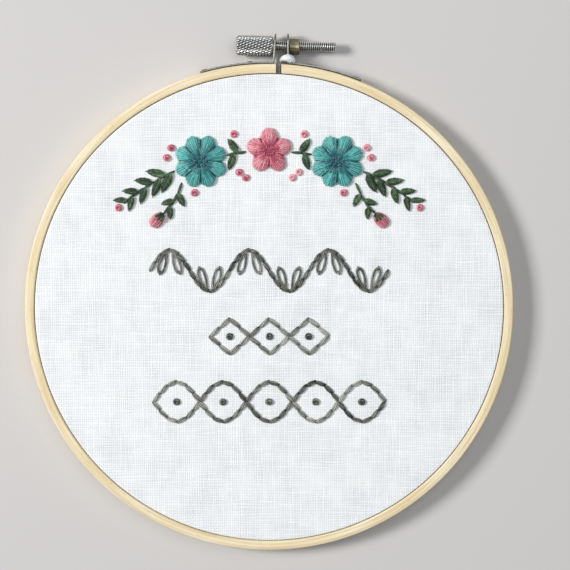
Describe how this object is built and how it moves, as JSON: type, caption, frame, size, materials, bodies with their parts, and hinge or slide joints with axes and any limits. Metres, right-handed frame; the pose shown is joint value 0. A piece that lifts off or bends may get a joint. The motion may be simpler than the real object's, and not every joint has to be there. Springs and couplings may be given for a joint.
{
  "type": "hoop embroidery art, cloth held in a wooden hoop",
  "caption": "Round wooden embroidery hoop with a screw clamp, holding a taut cloth that carries a raised floral garland and grey stitched borders.",
  "frame": {"origin": "middle of the whole part's underside, on the surface that the hoop lies on", "axes": "+X to the right as the work is seen; +Y up the work, towards the clamp; +Z off the cloth's face, away from the surface"},
  "size_m": [0.1848, 0.1962, 0.0118],
  "materials": {
    "bamboo": "pale straw bamboo with fine lengthwise grain, smooth and unvarnished",
    "cloth": "white plain-woven cotton with fine slubs",
    "steel": "bright plated steel, a little dulled",
    "aged_brass": "dulled brass with a brown-green tone",
    "teal_thread": "stranded cotton thread, teal shading to dark blue-green",
    "rose_thread": "stranded cotton thread, rose pink",
    "green_thread": "stranded cotton thread, dark green",
    "grey_thread": "stranded cotton thread, shaded mid to dark grey"
  },
  "bodies": {
    "hoop": {"outer_ring": "bamboo", "inner_ring": "bamboo", "cloth": "cloth", "bracket_left": "steel", "bracket_right": "steel", "nut": "aged_brass", "blossom_left": "teal_thread", "blossom_middle": "rose_thread", "blossom_right": "teal_thread", "stem_left": "green_thread", "stem_right": "green_thread", "sprig_left": "green_thread", "sprig_right": "green_thread", "knot_left_1": "rose_thread", "knot_left_2": "rose_thread", "knot_left_3": "rose_thread", "knot_left_4": "rose_thread", "knot_left_5": "rose_thread", "knot_right_1": "rose_thread", "knot_right_2": "rose_thread", "knot_right_3": "rose_thread", "knot_right_4": "rose_thread", "knot_right_5": "rose_thread", "border_wave": "grey_thread", "border_diamond": "grey_thread", "border_braid": "grey_thread", "knot_diamond_1": "grey_thread", "knot_diamond_2": "grey_thread", "knot_diamond_3": "grey_thread", "knot_braid_1": "grey_thread", "knot_braid_2": "grey_thread", "knot_braid_3": "grey_thread", "knot_braid_4": "grey_thread", "knot_braid_5": "grey_thread", "tendril_left": "green_thread", "bud_left": "rose_thread", "knot_left_6": "rose_thread", "knot_left_7": "rose_thread", "tendril_right": "green_thread", "bud_right": "rose_thread", "knot_right_6": "rose_thread", "knot_right_7": "rose_thread"},
    "thumb_screw": {"thumb_screw": "steel"}
  },
  "joints": [
    {"name": "screw_turn", "type": "hinge", "parent": "hoop", "child": "thumb_screw", "pos_m": [0.005, 0.0935, 0.0045], "axis": [0.9998, -0.0175, 0], "continuous": true}
  ]
}
